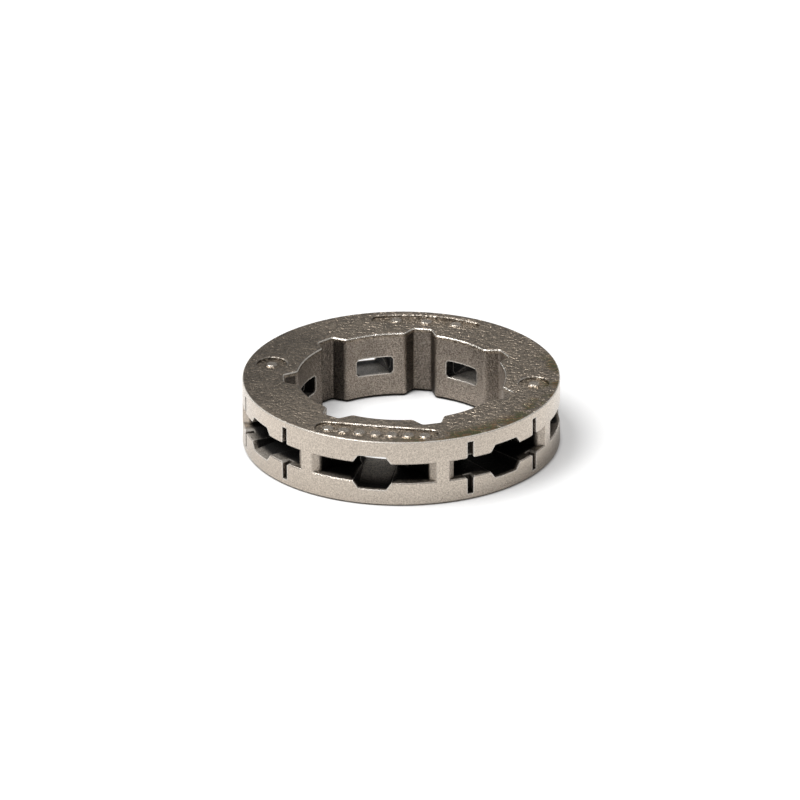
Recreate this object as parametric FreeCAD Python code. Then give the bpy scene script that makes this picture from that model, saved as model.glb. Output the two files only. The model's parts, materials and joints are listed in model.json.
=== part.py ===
"""Rim sprocket for a chainsaw clutch drum: one cast steel ring.

Two flanges are joined by narrow posts. The windows between the posts take the
drive links of a saw chain, and the splined bore slides on the drum's hub.
Millimetres, Z along the bore, origin at the centre of the lower face.
One window faces -Y.
"""
import FreeCAD, Part
import math
import os

# Ring
outer_diameter = 34.0
height = 7.4
upper_rim_chamfer = 0.1
lower_rim_chamfer = 0.2

# Splined bore, with one groove behind each post
tooth_count = 7
bore_diameter = 22.2
groove_depth = 1.4
groove_mouth_width = 3.4
groove_floor_width = 1.9
groove_floor_radius = 0.3
groove_mouth_radius = 0.5
bore_edge_radius = 0.25

# Posts, which widen behind their tips, and the drive link gap between the flanges.
# The shares are of the flange, from the groove floors to the rim.
gap_height = 2.15
post_tip_width = 1.45
post_shoulder_width = 2.7
post_root_width = 2.7
post_tip_share = 0.145
post_shoulder_radius = 0.35
pocket_root_radius = 0.8
pocket_back_width = 4.6
groove_wall_share = 0.35
land_wall_share = 0.273
opening_edge_chamfer = 0.1

# Chip channel through the middle of each window, which narrows to the bore
notch_depth = 0.85
notch_mouth_width = 4.18
notch_floor_width = 2.94
chip_hole_width = 4.1
chip_hole_height = 1.95
chip_hole_corner = 0.3

# Wear slits in the outer wall, at the windows on both sides of the front one
slit_windows = (-1, 1)
slit_offset = 4.5
slit_width = 0.68
slit_depth = 0.9
slit_end_wall = 0.7
slit_flare = 0.2

# Sunk mark fields on the upper face, with plain raised pips. Rim and breadth are
# shares of the flange, the end walls of the breadth, and the corners of the end walls.
field_depth = 0.25
field_edge_chamfer = 0.08
field_corner_share = 0.45
front_field_rim_share = 0.145
front_field_breadth_share = 0.763
front_field_end_share = 0.594
back_field_rim_share = 0.211
back_field_breadth_share = 0.589
back_field_end_share = 0.576
dot_field_rim_share = 0.238
dot_field_breadth_share = 0.733
pip_diameter = 1.5
pip_top_diameter = 1.0
pip_height = 0.2
front_pip_count = 7
back_pip_count = 3
# Pip pitches that stay free in a row, at its two ends together
pip_row_margin = 0.6

# How far a cutting body runs past the faces that it opens
cut_margin = 1.0
# Points closer than this are one point
same_place = 1e-5

UP = FreeCAD.Vector(0, 0, 1)
CENTRE = FreeCAD.Vector(0, 0, 0)

# Turns about the bore axis that take the +Y side to each place
FRONT = 180.0
BACK = 0.0
LEFT = 87.0
RIGHT = -87.0

outer_radius = outer_diameter / 2
land_radius = bore_diameter / 2
groove_radius = land_radius + groove_depth
flange = outer_radius - groove_radius
pitch_angle = 360.0 / tooth_count
gap_low = (height - gap_height) / 2
gap_high = gap_low + gap_height
field_floor = height - field_depth
dot_field_radius = flange * dot_field_breadth_share / 2
dot_field_reach = outer_radius - flange * dot_field_rim_share - dot_field_radius


def turned(shape, degrees):
    """A copy of the shape, turned about the bore axis."""
    copy = shape.copy()
    copy.rotate(CENTRE, UP, degrees)
    return copy


def around(shape, start):
    """One copy of the shape for each tooth."""
    return [turned(shape, start + k * pitch_angle) for k in range(tooth_count)]


def mirrored(half):
    """Outline that is even about the Y axis, from the points of its right half."""
    return half + [(-x, *rest) for x, *rest in reversed(half)]


def rounded_wire(corners):
    """Closed wire through (x, y, radius) corners, each rounded by its radius."""
    points = [FreeCAD.Vector(x, y, 0) for x, y, radius in corners]
    bends = []
    for k, corner in enumerate(points):
        to_last = (points[k - 1] - corner).normalize()
        to_next = (points[(k + 1) % len(points)] - corner).normalize()
        half_angle = to_last.getAngle(to_next) / 2
        radius = corners[k][2]
        setback = radius / math.tan(half_angle)
        inward = (to_last + to_next).normalize()
        middle = corner + inward * (radius / math.sin(half_angle) - radius)
        bends.append((corner + to_last * setback, middle, corner + to_next * setback))
    edges = []
    for k, (start, middle, end) in enumerate(bends):
        edges.append(Part.makeLine(bends[k - 1][2], start))
        if corners[k][2] > 0:
            edges.append(Part.Arc(start, middle, end).toShape())
    return Part.Wire(edges)


def prism(wire, low, high):
    """Upright body on a flat outline, from one height to another."""
    face = Part.Face(wire)
    face.translate(UP * low)
    return face.extrude(UP * (high - low))


def flat_sided(section_a, section_b):
    """Body between two outlines whose matching sides are parallel."""
    outlines = [section_a, section_b]
    for k in range(len(section_a)):
        outlines.append([section_a[k - 1], section_a[k], section_b[k], section_b[k - 1]])
    faces = [Part.Face(Part.makePolygon(points + points[:1])) for points in outlines]
    body = Part.Solid(Part.makeShell(faces))
    if body.Volume < 0:
        body.reverse()
    return body


def upright_edges(body):
    """The straight edges along Z of a prism."""
    return [e for e in body.Edges if e.BoundBox.ZLength > body.BoundBox.ZLength / 2]


def reaches(edge):
    """Distances from the bore axis of points along an edge."""
    return [math.hypot(p.x, p.y) for p in edge.discretize(7)]


def edges_at(body, level, nearest, farthest):
    """Edges at one height whose distance from the bore axis is in a range."""
    found = []
    for edge in body.Edges:
        box = edge.BoundBox
        if max(abs(box.ZMin - level), abs(box.ZMax - level)) > same_place:
            continue
        if min(reaches(edge)) > nearest and max(reaches(edge)) < farthest:
            found.append(edge)
    return found


def bore_plug():
    """The space inside the splined bore: the land circle and a groove behind each post."""
    mouth_half = groove_mouth_width / 2
    floor_half = groove_floor_width / 2
    mouth_reach = math.sqrt(land_radius ** 2 - mouth_half ** 2)
    side_slope = (mouth_half - floor_half) / (groove_radius - mouth_reach)
    groove = rounded_wire(mirrored([
        (mouth_half + side_slope * cut_margin, mouth_reach - cut_margin, 0),
        (floor_half, groove_radius, groove_floor_radius),
    ]))
    grooves = around(prism(groove, 0, height), FRONT + pitch_angle / 2)
    plug = Part.makeCylinder(land_radius, height).fuse(grooves).removeSplitter()
    mouth_edges = []
    for edge in upright_edges(plug):
        foot = edge.Vertexes[0].Point
        if abs(math.hypot(foot.x, foot.y) - land_radius) < same_place:
            mouth_edges.append(edge)
    return plug.makeFillet(groove_mouth_radius, mouth_edges)


def ring():
    """Solid ring with the splined bore and its finished edges."""
    body = Part.makeCylinder(outer_radius, height)
    for level, chamfer in ((0, lower_rim_chamfer), (height, upper_rim_chamfer)):
        body = body.makeChamfer(chamfer, edges_at(body, level, 0, outer_radius + cut_margin))
    body = body.cut(bore_plug())
    bore_rims = []
    for level in (0, height):
        bore_rims += edges_at(body, level, 0, groove_radius + bore_edge_radius)
    return body.makeFillet(bore_edge_radius, bore_rims)


def pocket():
    """The drive link gap between two posts, with its middle on +Y and its rim edges broken."""
    half_pitch = math.radians(pitch_angle / 2)
    along = FreeCAD.Vector(math.sin(half_pitch), math.cos(half_pitch), 0)
    across = FreeCAD.Vector(-along.y, along.x, 0)

    def beside_post(reach, width):
        return along * reach + across * (width / 2)

    edge_reach = outer_radius - opening_edge_chamfer
    corner = beside_post(outer_radius, post_tip_width - 2 * opening_edge_chamfer)
    tip = beside_post(edge_reach, post_tip_width)
    shoulder = beside_post(outer_radius - flange * post_tip_share, post_shoulder_width)
    root = beside_post(groove_radius + flange * groove_wall_share, post_root_width)
    outside = corner + (corner - tip).normalize() * cut_margin
    outline = rounded_wire(mirrored([
        (outside.x, outer_radius + cut_margin, 0),
        (outside.x, outside.y, 0),
        (tip.x, tip.y, 0),
        (shoulder.x, shoulder.y, post_shoulder_radius),
        (root.x, root.y, pocket_root_radius),
        (pocket_back_width / 2, land_radius + flange * land_wall_share, 0),
    ]))
    low = gap_low - opening_edge_chamfer
    high = gap_high + opening_edge_chamfer
    lower_cone = Part.makeCone(outer_radius, edge_reach, opening_edge_chamfer, UP * low)
    upper_cone = Part.makeCone(edge_reach, outer_radius, opening_edge_chamfer, UP * gap_high)
    return prism(outline, low, high).cut([lower_cone, upper_cone])


def channel_section(reach):
    """Outline of the chip channel at a distance from the bore axis."""
    share = (reach - land_radius) / (outer_radius - land_radius)
    slant = (notch_mouth_width - notch_floor_width) / 2 / notch_depth
    hole_floor_width = chip_hole_width - 2 * slant * chip_hole_corner
    hole_side = chip_hole_height - 2 * chip_hole_corner

    def half_between(at_bore, at_rim):
        return (at_bore + (at_rim - at_bore) * share) / 2

    floor = half_between(hole_floor_width, notch_floor_width)
    mouth = half_between(chip_hole_width, notch_mouth_width)
    side = half_between(hole_side, gap_height)
    tall = half_between(chip_hole_height, gap_height + 2 * notch_depth)
    right = [(floor, -tall), (mouth, -side), (mouth, side), (floor, tall)]
    return [FreeCAD.Vector(x, reach, height / 2 + z) for x, z in mirrored(right)]


def channel():
    """The chip channel of one window, from the rim to the bore."""
    outer_end = channel_section(outer_radius + cut_margin)
    inner_end = channel_section(land_radius - cut_margin)
    return flat_sided(outer_end, inner_end)


def slit():
    """One wear slit on +Y, flared where it meets the gap."""
    half = slit_width / 2
    right = [
        (half, slit_end_wall),
        (half, gap_low - slit_flare),
        (half + slit_flare, gap_low),
        (half + slit_flare, gap_high),
        (half, gap_high + slit_flare),
        (half, height - slit_end_wall),
    ]
    reach = outer_radius - slit_depth
    points = [FreeCAD.Vector(x, reach, z) for x, z in mirrored(right)]
    face = Part.Face(Part.makePolygon(points + points[:1]))
    return face.extrude(FreeCAD.Vector(0, slit_depth + cut_margin, 0))


def slits():
    """The wear slits of every window that has them, one on each side of its middle."""
    aside = math.degrees(math.asin(slit_offset / outer_radius))
    turns = []
    for window in slit_windows:
        middle = FRONT + window * pitch_angle
        turns += [middle - aside, middle + aside]
    return [turned(slit(), turn) for turn in turns]


class Field:
    """A mark field on +Y: straight inside, round outside."""

    def __init__(self, rim_share, breadth_share, end_share):
        breadth = flange * breadth_share
        self.end_wall = breadth * end_share
        self.outer = outer_radius - flange * rim_share
        self.inner = self.outer - breadth
        self.width = 2 * math.sqrt(self.outer ** 2 - (self.inner + self.end_wall) ** 2)

    def space(self):
        """The body that is sunk into the upper face."""
        corner = FreeCAD.Vector(-self.width / 2, self.inner, field_floor)
        breadth = self.outer - self.inner
        box = Part.makeBox(self.width, breadth, field_depth + cut_margin, corner)
        body = box.common(Part.makeCylinder(self.outer, height + cut_margin))
        return body.makeFillet(self.end_wall * field_corner_share, upright_edges(body))

    def pips(self, count):
        """A row of pips along the middle of the field."""
        pitch = self.width / (count + pip_row_margin)
        places = [(k - (count - 1) / 2) * pitch for k in range(count)]
        return [pip(x, (self.inner + math.sqrt(self.outer ** 2 - x ** 2)) / 2) for x in places]


def pip(x, y):
    """One raised pip, rooted below the floor of its field."""
    flare = (pip_diameter - pip_top_diameter) / 2
    foot = FreeCAD.Vector(x, y, field_floor - pip_height)
    return Part.makeCone(pip_diameter / 2 + flare, pip_top_diameter / 2, 2 * pip_height, foot)


def dot_field():
    """Space of a round mark field on +Y."""
    foot = FreeCAD.Vector(0, dot_field_reach, field_floor)
    return Part.makeCylinder(dot_field_radius, field_depth + cut_margin, foot)


def with_fields(body):
    """The ring with its mark fields sunk, their upper edges chamfered and their pips raised."""
    front = Field(front_field_rim_share, front_field_breadth_share, front_field_end_share)
    back = Field(back_field_rim_share, back_field_breadth_share, back_field_end_share)
    spaces = [turned(front.space(), FRONT), turned(back.space(), BACK)]
    spaces += [turned(dot_field(), turn) for turn in (LEFT, RIGHT)]
    body = body.cut(spaces)
    inside = min(front.inner, back.inner, dot_field_reach - dot_field_radius) - same_place
    outside = max(front.outer, back.outer, dot_field_reach + dot_field_radius) + same_place
    body = body.makeChamfer(field_edge_chamfer, edges_at(body, height, inside, outside))
    pips = [turned(p, FRONT) for p in front.pips(front_pip_count)]
    pips += [turned(p, BACK) for p in back.pips(back_pip_count)]
    pips += [turned(pip(0, dot_field_reach), turn) for turn in (LEFT, RIGHT)]
    return body.fuse(pips)


def rim_sprocket():
    """The whole casting."""
    body = ring().cut(around(pocket(), FRONT) + around(channel(), FRONT) + slits())
    (casting,) = with_fields(body).removeSplitter().Solids
    return casting


os.makedirs("parts", exist_ok=True)
rim_sprocket().exportStep("parts/rim_sprocket.step")
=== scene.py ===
import json
import math
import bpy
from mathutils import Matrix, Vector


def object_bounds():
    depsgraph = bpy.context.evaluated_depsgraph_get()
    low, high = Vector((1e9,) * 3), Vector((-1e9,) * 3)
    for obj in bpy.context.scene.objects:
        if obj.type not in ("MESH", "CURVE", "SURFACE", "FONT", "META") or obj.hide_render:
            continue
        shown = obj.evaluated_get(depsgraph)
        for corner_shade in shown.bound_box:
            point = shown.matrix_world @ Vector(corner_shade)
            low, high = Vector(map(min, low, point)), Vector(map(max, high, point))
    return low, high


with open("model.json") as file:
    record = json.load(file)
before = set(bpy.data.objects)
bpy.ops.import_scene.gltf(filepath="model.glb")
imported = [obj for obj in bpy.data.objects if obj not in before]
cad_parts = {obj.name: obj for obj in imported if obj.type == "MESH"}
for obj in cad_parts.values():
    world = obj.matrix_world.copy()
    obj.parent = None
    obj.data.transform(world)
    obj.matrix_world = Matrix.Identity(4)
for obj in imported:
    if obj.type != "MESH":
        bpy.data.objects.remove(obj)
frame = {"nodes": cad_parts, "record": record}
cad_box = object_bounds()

from types import SimpleNamespace

import bpy
from mathutils import Matrix, Vector

mounts = {mount["name"]: mount for mount in frame["record"]["mounts"]}

MM = 0.001

# Sizes of the ring in millimetres: the depth of the grooves as in the CAD, the rest from the frame
RIM = (cad_box[1].x - cad_box[0].x) / 2 / MM
TALL = (cad_box[1].z - cad_box[0].z) / MM
LAND = mounts["splined_bore"]["dims"]["r_mm"]
GROOVE_DEPTH = 1.4
GROOVE = LAND + GROOVE_DEPTH

WINDOW_COUNT = 7

# Camera: angles in radians, and places in outer radii from the centre of the lower face
VIEW_AZIMUTH = math.radians(10.7)
VIEW_ELEVATION = math.radians(24.54)
VIEW_ROLL = -0.0034
VIEW_DISTANCE = 60.0
VIEW_RIGHT = -0.0081
VIEW_UP = 0.2439

# Its focal length and image width in pixels, and its sensor width in millimetres
FOCAL_PIXELS = 9517.0
IMAGE_WIDTH = 800
SENSOR = 36.0

# Finishes, painted light and painted shade, and the floor, as linear colours
WALL_STEEL = (0.55, 0.482, 0.41, 1)
FACE_SKIN = (0.375, 0.31, 0.243, 1)
BORE_SKIN = (0.395, 0.338, 0.285, 1)
# Painted light on the window floors at the left and on the channel ramps
PAINTED_LIT_SCALE = (0.3, 0.27, 0.235, 1)
# Dark scale with painted shade deep in the windows
DARK_SCALE_AND_SHADE = (0.012, 0.011, 0.01, 1)
# Worn edges with painted highlights
WORN_EDGE_AND_HIGHLIGHT = (0.82, 0.77, 0.7, 1)
OLIVE_STAIN = (0.15, 0.15, 0.055, 1)
BROWN_STAIN = (0.3, 0.18, 0.08, 1)
FLOOR_WHITE = (0.8, 0.8, 0.8, 1)

# Grain of the casting: size in millimetres, and detail
PEBBLE = {"Size": 0.42, "Detail": 1.5}
SAND = {"Size": 0.15, "Detail": 1.0}
CLOUD = {"Size": 3.0, "Detail": 3.0}

# Wear and relief, in millimetres
EDGE_WIDTH = 0.2
CORNER_WIDTH = 0.7
EDGE_ROUNDING = 0.1
RELIEF_DEPTH = 0.18

# Rays that the shader casts at each point
OPENNESS_SAMPLES = 8
ROUNDING_SAMPLES = 4

# Turns from the front in degrees, positive to the right, at which the surface differs: painted light and
# shade at the windows, the grooves and the left side, the stain, and the ripples
LIT_WINDOW_TURN = -65
SHADED_WINDOW_TURN = 60
UNSHADED_GROOVE_TURN = 90
STAIN_TURN = 64
SHADED_SIDE_TURN = -95
RIPPLE_TURN = 125

# Floor: half its width in metres, and its gap to the ring in millimetres
FLOOR_HALF = 3.0
FLOOR_GAP = 0.01

# Glow of the floor: strengths, lengths in millimetres, a direction, and a place in metres
FLOOR_GLOW = 0.3
MIRRORED_GLOW = 0.4
CONTACT_REACH = 0.8
MIRROR_REACH = 12
DIM_FRONT = -45
BRIGHT_BACK = 20
TOWARD_BACK = (-0.4, 0.92, 0)
SHADOW_MIDDLE = (3.0 * MM, -2.2 * MM, 0)

# Grey of the room at the horizon and overhead
ROOM_SIDE_GREY = 0.25
ROOM_TOP_GREY = 0.45

# Numbers of the Mix node's sockets, several of which share a name
MIX_FACTOR = 0
MIX_NUMBER_A = 2
MIX_NUMBER_B = 3
MIX_COLOUR_A = 6
MIX_COLOUR_B = 7
MIX_NUMBER_OUT = 0
MIX_COLOUR_OUT = 2


class Graph:
    """Adds nodes to one shader tree and joins them."""

    def __init__(self, tree):
        self.tree = tree

    def node(self, kind, inputs=(), **settings):
        made = self.tree.nodes.new(kind)
        for name, value in settings.items():
            setattr(made, name, value)
        for socket, value in dict(inputs).items():
            self.feed(made.inputs[socket], value)
        return made

    def feed(self, socket, value):
        """Joins an output to a socket, or sets the socket's own value."""
        if isinstance(value, bpy.types.NodeSocket):
            self.tree.links.new(value, socket)
        else:
            socket.default_value = value

    def math(self, operation, *values):
        return self.node("ShaderNodeMath", enumerate(values), operation=operation).outputs[0]

    def vector_math(self, operation, first, second):
        inputs = {0: first, 1: second}
        return self.node("ShaderNodeVectorMath", inputs, operation=operation).outputs["Value"]

    def product(self, *values):
        result = values[0]
        for value in values[1:]:
            result = self.math("MULTIPLY", result, value)
        return result

    def without(self, mask, other):
        """The part of a mask that another one leaves."""
        return self.product(mask, self.math("SUBTRACT", 1.0, other))

    def fade(self, value, start, end, low=0.0, high=1.0):
        """Smooth change from low, where the value is at start, to high, where it is at end."""
        inputs = {"Value": value, "From Min": start, "From Max": end, "To Min": low, "To Max": high}
        return self.node("ShaderNodeMapRange", inputs, interpolation_type="SMOOTHSTEP").outputs[0]

    def spread(self, value, low, high):
        """Smooth change from low to high, for a value from 0 to 1."""
        return self.fade(value, 0.0, 1.0, low, high)

    def mix(self, mask, first, second, blend="MIX"):
        """Colour between two, by a mask, or the first blended with the second in another way."""
        inputs = {MIX_FACTOR: mask, MIX_COLOUR_A: first, MIX_COLOUR_B: second}
        made = self.node("ShaderNodeMix", inputs, data_type="RGBA", blend_type=blend)
        return made.outputs[MIX_COLOUR_OUT]

    def tint(self, colour, amount):
        """Colour made lighter or darker by a factor."""
        return self.mix(1.0, colour, amount, blend="MULTIPLY")

    def between(self, mask, first, second):
        """Number between two, by a mask."""
        inputs = {MIX_FACTOR: mask, MIX_NUMBER_A: first, MIX_NUMBER_B: second}
        return self.node("ShaderNodeMix", inputs, data_type="FLOAT").outputs[MIX_NUMBER_OUT]

    def openness(self, distance, **settings):
        """1 in the open, less where other surfaces are within the distance."""
        kind = "ShaderNodeAmbientOcclusion"
        return self.node(kind, {"Distance": distance}, samples=OPENNESS_SAMPLES, **settings).outputs["AO"]

    def use(self, tree, **inputs):
        """Places a group and returns its outputs by name."""
        made = self.node("ShaderNodeGroup", node_tree=tree)
        for name, value in inputs.items():
            self.feed(made.inputs[name.replace("_", " ")], value)
        return made.outputs


class Group(Graph):
    """A shader group under construction, with named sockets."""

    def __init__(self, name, inputs, outputs):
        super().__init__(bpy.data.node_groups.new(name, "ShaderNodeTree"))
        for way, sockets in (("INPUT", inputs), ("OUTPUT", outputs)):
            for label, kind in sockets.items():
                self.tree.interface.new_socket(label, in_out=way, socket_type="NodeSocket" + kind)
        self.given = self.tree.nodes.new("NodeGroupInput").outputs
        self.result = self.tree.nodes.new("NodeGroupOutput").inputs


def ring_places():
    """Distance from the bore axis, height, turn from the front, and 1 at windows to -1 at posts."""
    outputs = {"Reach": "Float", "Height": "Float", "Turn": "Float", "Window": "Float"}
    g = Group("ring_places", {"Point": "Vector"}, outputs)
    x, y, z = g.node("ShaderNodeSeparateXYZ", {"Vector": g.given["Point"]}).outputs
    reach = g.math("SQRT", g.math("ADD", g.product(x, x), g.product(y, y)))
    turn = g.math("ARCTAN2", x, g.product(y, -1.0))
    g.feed(g.result["Reach"], reach)
    g.feed(g.result["Height"], z)
    g.feed(g.result["Turn"], turn)
    g.feed(g.result["Window"], g.math("COSINE", g.product(turn, float(WINDOW_COUNT))))
    return g.tree


def grain():
    """Uneven grain of one size in millimetres, from 0 to 1."""
    inputs = {"Point": "Vector", "Size": "Float", "Detail": "Float"}
    g = Group("grain", inputs, {"Grain": "Float"})
    sockets = {
        "Vector": g.given["Point"],
        "Scale": g.math("DIVIDE", 1.0, g.given["Size"]),
        "Detail": g.given["Detail"],
        "Roughness": 0.55,
    }
    noise = g.node("ShaderNodeTexNoise", sockets).outputs[0]
    g.feed(g.result["Grain"], g.fade(noise, 0.22, 0.78))
    return g.tree


def edges_and_corners():
    """Masks of outer edges, which are rubbed bright and also carry painted highlights, and of painted
    shade in inner corners.
    """
    inputs = {"Edge Width": "Float", "Corner Width": "Float"}
    g = Group("edges_and_corners", inputs, {"Edge": "Float", "Corner": "Float"})

    def own_openness(width, inside):
        return g.openness(g.product(width, MM), inside=inside, only_local=True)

    g.feed(g.result["Edge"], g.fade(own_openness(g.given["Edge Width"], True), 0.95, 0.55))
    # Painted shade in inner corners
    g.feed(g.result["Corner"], g.fade(own_openness(g.given["Corner Width"], False), 0.9, 0.35))
    return g.tree


def new_material(name):
    material = bpy.data.materials.new(name)
    material.use_nodes = True
    material.node_tree.nodes.clear()
    g = Graph(material.node_tree)
    return material, g, g.node("ShaderNodeOutputMaterial").inputs["Surface"]


def steel_places(g):
    """Where a point of the surface is, in millimetres, which way it faces, and the grain there."""
    coordinates = g.node("ShaderNodeTexCoord").outputs
    inputs = {0: coordinates["Object"], "Scale": 1 / MM}
    point = g.node("ShaderNodeVectorMath", inputs, operation="SCALE").outputs[0]
    ring = g.use(ring_places(), Point=point)
    grain_tree = grain()
    return SimpleNamespace(
        reach=ring["Reach"],
        inward=g.math("SUBTRACT", RIM, ring["Reach"]),
        height=ring["Height"],
        turn=ring["Turn"],
        window=ring["Window"],
        upright=g.node("ShaderNodeSeparateXYZ", {"Vector": coordinates["Normal"]}).outputs["Z"],
        pebble=g.use(grain_tree, Point=point, **PEBBLE)["Grain"],
        sand=g.use(grain_tree, Point=point, **SAND)["Grain"],
        cloud=g.use(grain_tree, Point=point, **CLOUD)["Grain"],
    )


def side(g, at, degrees, start, end):
    """1 on one side of the ring, at a turn from the front."""
    return g.fade(g.math("COSINE", g.math("SUBTRACT", at.turn, math.radians(degrees))), start, end)


def outer_zones(g, at):
    """Masks of the outer wall, the two faces, painted shade at the foot of the ring, and the lips of its
    upper face, which get painted highlights.
    """
    wall = g.fade(at.reach, RIM - 0.1, RIM - 0.03)
    upper_face = g.fade(at.height, TALL - 0.5, TALL - 0.35)
    lower_face = g.fade(at.height, 0.05, 0.01)
    # Painted shade at the foot of the ring, where it stands on the floor, weaker on the outer wall
    foot_shade = g.product(g.fade(at.height, 0.002, 0.02), g.fade(at.height, 0.34, 0.2))
    foot_shade = g.product(foot_shade, g.fade(at.reach, RIM - 2, RIM - 1, 1, 0.1))
    # Lips of the upper face, which get painted highlights
    lip = g.fade(at.height, TALL - 0.16, TALL - 0.1)
    lip = g.product(lip, g.fade(at.height, TALL - 0.01, TALL - 0.03))
    lip = g.without(lip, g.product(wall, g.fade(at.height, TALL - 0.08, TALL - 0.12)))
    face = g.math("MAXIMUM", upper_face, lower_face)
    return SimpleNamespace(wall=wall, face=face, foot_shade=foot_shade, lip=lip)


def shaded_groove_zones(g, at, outer):
    """Masks of painted shade in the bore grooves, deepest on their sides except on the right."""
    # Painted shade in the grooves, deepest on their sides except on the right
    behind_lands = g.fade(at.reach, LAND + 0.15, LAND + 0.4)
    whole = g.product(g.fade(at.window, -0.1, -0.4), behind_lands)
    whole = g.product(whole, g.fade(at.reach, GROOVE + 0.2, GROOVE + 0.1))
    whole = g.without(whole, outer.face)
    sides = g.product(whole, g.fade(at.reach, GROOVE - 0.02, GROOVE - 0.15))
    sides = g.without(sides, side(g, at, UNSHADED_GROOVE_TURN, 0.2, 0.7))
    return SimpleNamespace(whole=whole, sides=sides)


def window_zones(g, at, outer):
    """Masks inside the chain windows: dark scale with painted shade, darker the deeper they go but less
    so on the left, and painted light on the floors at the left and on the channel ramps.
    """
    level = g.product(g.fade(at.height, 0.45, 0.75), g.fade(at.height, TALL - 0.45, TALL - 0.75))
    behind_grooves = g.fade(at.reach, GROOVE + 0.2, GROOVE + 0.6)
    sector = g.math("MAXIMUM", behind_grooves, g.fade(at.window, -0.2, 0.1))
    behind_lands = g.fade(at.reach, LAND + 0.05, LAND + 0.25)
    opening = g.without(g.product(level, sector, behind_lands), outer.wall)
    channel = g.fade(at.window, 0.42, 0.62)
    left = side(g, at, LIT_WINDOW_TURN, 0.5, 0.9)
    flank = g.product(opening, g.fade(at.window, -0.55, -0.75))
    floor = g.without(g.product(opening, g.fade(at.upright, 0.5, 0.8)), flank)
    # Painted light on the window floors at the left, and on the channel ramps except at the right
    lit_floor = g.product(floor, left)
    ramp = g.product(floor, channel, g.fade(at.reach, LAND + 4.9, LAND + 2.5))
    ramp = g.without(g.without(ramp, left), side(g, at, SHADED_WINDOW_TURN, 0.5, 0.85))

    # Distances from the rim at which the dark scale and painted shade start and are full
    start = g.between(flank, g.between(lit_floor, 0.05, 0.5), 0.45)
    full = g.between(lit_floor, g.between(channel, 1.3, 0.5), 1.35)
    full = g.between(flank, full, 1.1)
    return SimpleNamespace(
        opening=opening,
        channel=channel,
        flank=flank,
        ramp=ramp,
        inside=g.product(opening, g.fade(at.inward, start, full), g.between(ramp, 1.0, 0.1)),
        scale=g.math("MAXIMUM", lit_floor, ramp),
    )


def wear_stain_and_painted_light(g, at, outer, hollow):
    """Masks of edges that are rubbed bright and given painted highlights, of painted shade in inner
    corners, and of the stain at the right rim.
    """
    rubbed_and_shaded = g.use(edges_and_corners(), Edge_Width=EDGE_WIDTH, Corner_Width=CORNER_WIDTH)
    near_bore = g.fade(at.reach, GROOVE + 0.9, GROOVE + 0.5)
    near_edge = g.math("MAXIMUM", near_bore, g.fade(at.reach, RIM - 0.6, RIM - 0.4))
    slanted = g.product(g.fade(at.upright, 0.5, 0.6), g.fade(at.upright, 0.9, 0.8))
    slanted = g.product(slanted, g.fade(at.inward, 1.1, 0.9))
    # Painted highlights on the slanted mouths of the slits
    slit_mouth_glint = g.without(g.product(hollow.opening, slanted), hollow.channel)
    edge = g.math("MAXIMUM", rubbed_and_shaded["Edge"], outer.lip)
    edge = g.product(edge, g.between(g.without(outer.face, near_edge), 1.0, 0.4))
    edge = g.math("MAXIMUM", edge, g.product(slit_mouth_glint, 0.7))
    edge = g.product(edge, g.fade(at.sand, 0.1, 0.6, 0.7, 1.0), g.between(hollow.inside, 1.0, 0.5))
    edge = g.without(edge, outer.foot_shade)
    stain = g.product(side(g, at, STAIN_TURN, 0.45, 0.75), outer.face)
    stain = g.product(stain, g.fade(at.reach, RIM - 2.8, RIM - 0.6))
    stain = g.product(stain, g.fade(at.cloud, 0.2, 0.6, 0.0, 0.95))
    return SimpleNamespace(edge=edge, corner_shade=rubbed_and_shaded["Corner"], stain=stain)


def skin_colour(g, at, outer, groove_shade, wear_and_light):
    """Colour of the faces and the bore, with painted shade on the left and in the grooves, and stained at
    the right rim.
    """
    skin = g.mix(outer.face, BORE_SKIN, FACE_SKIN)
    skin = g.tint(skin, g.between(outer.face, 1.0, g.spread(at.pebble, 0.78, 1.22)))
    skin = g.tint(skin, g.spread(at.sand, 0.65, 1.35))
    skin = g.tint(skin, g.spread(at.cloud, 0.9, 1.1))
    # Painted shade on the left side of the faces and the bore
    skin = g.tint(skin, g.spread(side(g, at, SHADED_SIDE_TURN, 0.6, 1.0), 1.0, 0.66))
    stain = g.mix(g.fade(at.pebble, 0.4, 0.7), OLIVE_STAIN, BROWN_STAIN)
    skin = g.mix(wear_and_light.stain, skin, stain)
    # Painted shade in the grooves, deepest on their sides
    skin = g.tint(skin, g.spread(groove_shade.whole, 1.0, 0.75))
    return g.tint(skin, g.spread(groove_shade.sides, 1.0, 0.45))


def steel_colour(g, at, outer, hollow, wear_and_light, skin):
    """Colour of the skin with the wall, painted light and dark scale with painted shade in the windows,
    painted shade in inner corners and at the foot, and the worn edges with painted highlights over it.
    """
    steel = g.tint(WALL_STEEL, g.spread(at.sand, 0.82, 1.18))
    colour = g.mix(g.math("MAXIMUM", outer.wall, hollow.flank), skin, steel)
    # Painted light on the window floors at the left and on the channel ramps
    grey = g.tint(PAINTED_LIT_SCALE, g.spread(at.sand, 0.6, 1.4))
    grey = g.tint(grey, g.between(hollow.ramp, 1.0, 1.4))
    colour = g.mix(hollow.scale, colour, grey)
    # Painted shade in inner corners
    colour = g.tint(colour, g.spread(wear_and_light.corner_shade, 1.0, 0.35))
    # Dark scale with painted shade deep in the windows
    colour = g.mix(hollow.inside, colour, DARK_SCALE_AND_SHADE)
    # Painted shade at the foot
    colour = g.tint(colour, g.spread(outer.foot_shade, 1.0, 0.06))
    # Worn edges, also brightened as painted highlights
    return g.mix(wear_and_light.edge, colour, WORN_EDGE_AND_HIGHLIGHT)


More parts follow.
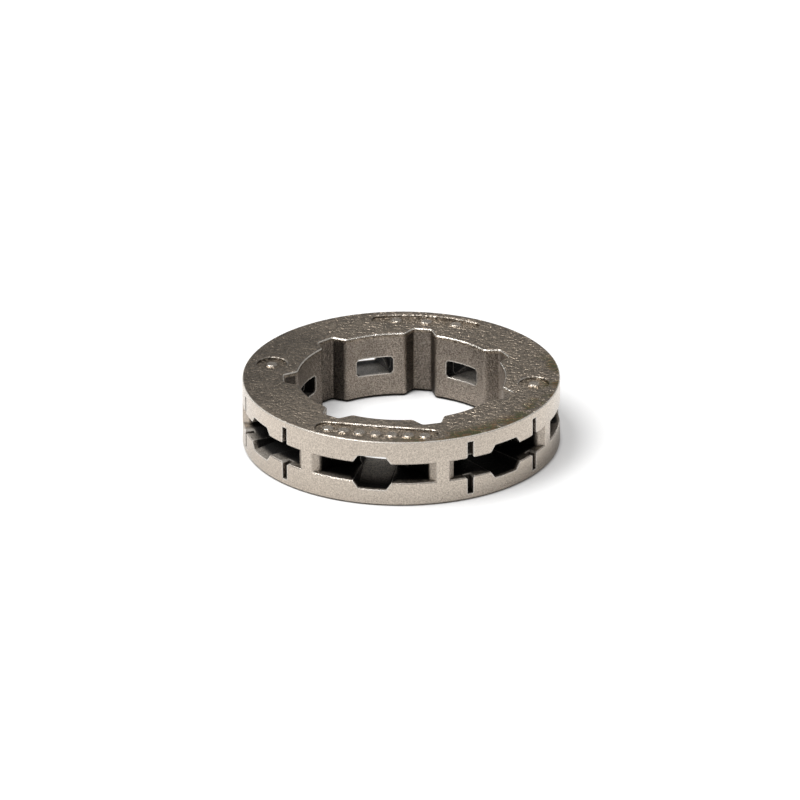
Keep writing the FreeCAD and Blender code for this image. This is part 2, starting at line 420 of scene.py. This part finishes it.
def steel_gloss(g, at, outer, hollow, wear_and_light):
    """Metallic and roughness of the steel."""
    edge_metallic = g.fade(at.reach, RIM - 1.2, RIM - 0.6, 0.9, 0.3)
    metallic = g.between(wear_and_light.edge, g.between(hollow.scale, 1.0, 0.25), edge_metallic)
    skin_roughness = g.between(outer.face, 0.42, 0.3)
    roughness = g.between(outer.wall, skin_roughness, g.spread(at.sand, 0.28, 0.2))
    roughness = g.between(wear_and_light.edge, roughness, 0.22)
    return metallic, g.between(hollow.inside, roughness, 0.7)


def steel_normal(g, at, outer, wear_and_light):
    """Softened edges, ripples on the faces, and finer grain on the wall."""
    ripple = g.spread(side(g, at, RIPPLE_TURN, -0.5, 0.5), 0.45, 0.72)
    ripple = g.product(at.pebble, g.between(outer.face, 0.2, ripple), g.between(wear_and_light.stain, 1.0, 0.6))
    skin_relief = g.math("ADD", ripple, g.product(at.sand, g.between(outer.face, 0.25, 0.18)))
    relief = g.between(outer.wall, skin_relief, g.product(at.sand, 0.09))
    relief = g.product(relief, g.between(wear_and_light.edge, 1.0, 0.1))
    inputs = {"Radius": EDGE_ROUNDING * MM}
    rounded = g.node("ShaderNodeBevel", inputs, samples=ROUNDING_SAMPLES).outputs[0]
    inputs = {"Strength": 1.0, "Distance": RELIEF_DEPTH * MM, "Height": relief, "Normal": rounded}
    return g.node("ShaderNodeBump", inputs).outputs[0]


def cast_steel():
    """Cast skin with a finer, brighter outer wall and dark scale with painted shade inside the chain
    windows.
    """
    material, g, surface = new_material("cast_steel")
    at = steel_places(g)
    outer = outer_zones(g, at)
    groove_shade = shaded_groove_zones(g, at, outer)
    hollow = window_zones(g, at, outer)
    wear_and_light = wear_stain_and_painted_light(g, at, outer, hollow)
    skin = skin_colour(g, at, outer, groove_shade, wear_and_light)
    metallic, roughness = steel_gloss(g, at, outer, hollow, wear_and_light)
    inputs = {
        "Base Color": steel_colour(g, at, outer, hollow, wear_and_light, skin),
        "Metallic": metallic,
        "Roughness": roughness,
        "Normal": steel_normal(g, at, outer, wear_and_light),
    }
    g.feed(surface, g.node("ShaderNodeBsdfPrincipled", inputs).outputs[0])
    return material


def white_floor():
    """Matt white that keeps shadows and is seen and mirrored a little brighter than it is lit."""
    material, g, surface = new_material("white_floor")
    path = g.node("ShaderNodeLightPath").outputs
    place = g.node("ShaderNodeTexCoord").outputs["Object"]

    # Seen by the camera, less so where the ring touches the floor
    near_sky = g.openness(CONTACT_REACH * MM)
    seen = g.product(path["Is Camera Ray"], g.fade(near_sky, 0.2, 0.8), FLOOR_GLOW)

    # Mirrored in the steel, more so toward the back, and not near the ring at the front right, where the
    # ring's shadow lies: a painted shadow in what the steel mirrors
    mirrored = g.math("ADD", path["Is Glossy Ray"], path["Is Transmission Ray"])
    wide_sky = g.openness(MIRROR_REACH * MM)
    back = g.vector_math("DOT_PRODUCT", place, TOWARD_BACK)
    growth = g.fade(back, DIM_FRONT * MM, BRIGHT_BACK * MM, 0.3, 1.15)
    away = g.vector_math("DISTANCE", place, SHADOW_MIDDLE)
    lit = g.fade(away, (RIM - 2) * MM, (RIM + 1) * MM)
    mirrored = g.product(mirrored, g.fade(wide_sky, 0.45, 1.0), growth, lit, MIRRORED_GLOW)

    matt = g.node("ShaderNodeBsdfDiffuse", {"Color": FLOOR_WHITE})
    glow = g.node("ShaderNodeEmission", {"Strength": g.math("ADD", seen, mirrored)})
    both = g.node("ShaderNodeAddShader", {0: matt.outputs[0], 1: glow.outputs[0]})
    g.feed(surface, both.outputs[0])
    return material


def add_floor():
    """Square floor just under the ring."""
    level = -FLOOR_GAP * MM
    ways = ((-1, -1), (1, -1), (1, 1), (-1, 1))
    corners = [(x * FLOOR_HALF, y * FLOOR_HALF, level) for x, y in ways]
    mesh = bpy.data.meshes.new("floor")
    mesh.from_pydata(corners, [], [(0, 1, 2, 3)])
    mesh.materials.append(white_floor())
    floor = bpy.data.objects.new("floor", mesh)
    bpy.context.scene.collection.objects.link(floor)


def studio_world():
    """Soft grey room, lighter overhead."""
    world = bpy.data.worlds.new("studio")
    world.use_nodes = True
    world.node_tree.nodes.clear()
    g = Graph(world.node_tree)
    way = g.node("ShaderNodeTexCoord").outputs["Generated"]
    up = g.node("ShaderNodeSeparateXYZ", {"Vector": way}).outputs["Z"]
    grey = g.spread(up, ROOM_SIDE_GREY, ROOM_TOP_GREY)
    room = g.node("ShaderNodeBackground", {"Color": grey, "Strength": 1.0})
    g.node("ShaderNodeOutputWorld", {"Surface": room.outputs[0]})
    bpy.context.scene.world = world


def soft_lamp(name, azimuth, elevation, distance, size, power):
    """Square lamp that looks at the ring, with angles in degrees, lengths in metres and power in watts.

    Azimuth 0 is the camera's side, positive to its right.
    """
    angle = VIEW_AZIMUTH + math.radians(azimuth)
    height = math.radians(elevation)
    level = Vector((math.sin(angle), -math.cos(angle), 0)) * math.cos(height)
    direction = level + Vector((0, 0, math.sin(height)))
    data = bpy.data.lights.new(name, "AREA")
    data.shape = "SQUARE"
    data.size = size
    data.energy = power
    lamp = bpy.data.objects.new(name, data)
    lamp.location = direction * distance
    lamp.rotation_euler = direction.to_track_quat("Z", "Y").to_euler()
    bpy.context.scene.collection.objects.link(lamp)


def add_camera():
    """Camera of the photo, from the fitted view."""
    right = Vector((math.cos(VIEW_AZIMUTH), math.sin(VIEW_AZIMUTH), 0))
    near = Vector((math.sin(VIEW_AZIMUTH), -math.cos(VIEW_AZIMUTH), 0))
    back = near * math.cos(VIEW_ELEVATION) + Vector((0, 0, math.sin(VIEW_ELEVATION)))
    up = back.cross(right)
    place = (right * VIEW_RIGHT + up * VIEW_UP + back * VIEW_DISTANCE) * RIM * MM
    rolled_right = right * math.cos(VIEW_ROLL) + up * math.sin(VIEW_ROLL)
    rolled_up = up * math.cos(VIEW_ROLL) - right * math.sin(VIEW_ROLL)
    data = bpy.data.cameras.new("camera")
    data.sensor_width = SENSOR
    data.lens = FOCAL_PIXELS / IMAGE_WIDTH * SENSOR
    camera = bpy.data.objects.new("camera", data)
    turn = Matrix((rolled_right, rolled_up, back)).transposed().to_4x4()
    camera.matrix_world = Matrix.Translation(place) @ turn
    bpy.context.scene.collection.objects.link(camera)
    bpy.context.scene.camera = camera


ring_mesh = frame["nodes"]["rim_sprocket"].data
ring_mesh.materials.clear()
ring_mesh.materials.append(cast_steel())

add_floor()
studio_world()
soft_lamp("key", azimuth=-75, elevation=65, distance=0.8, size=0.45, power=5.3)
add_camera()
bpy.context.scene.view_settings.view_transform = "Standard"
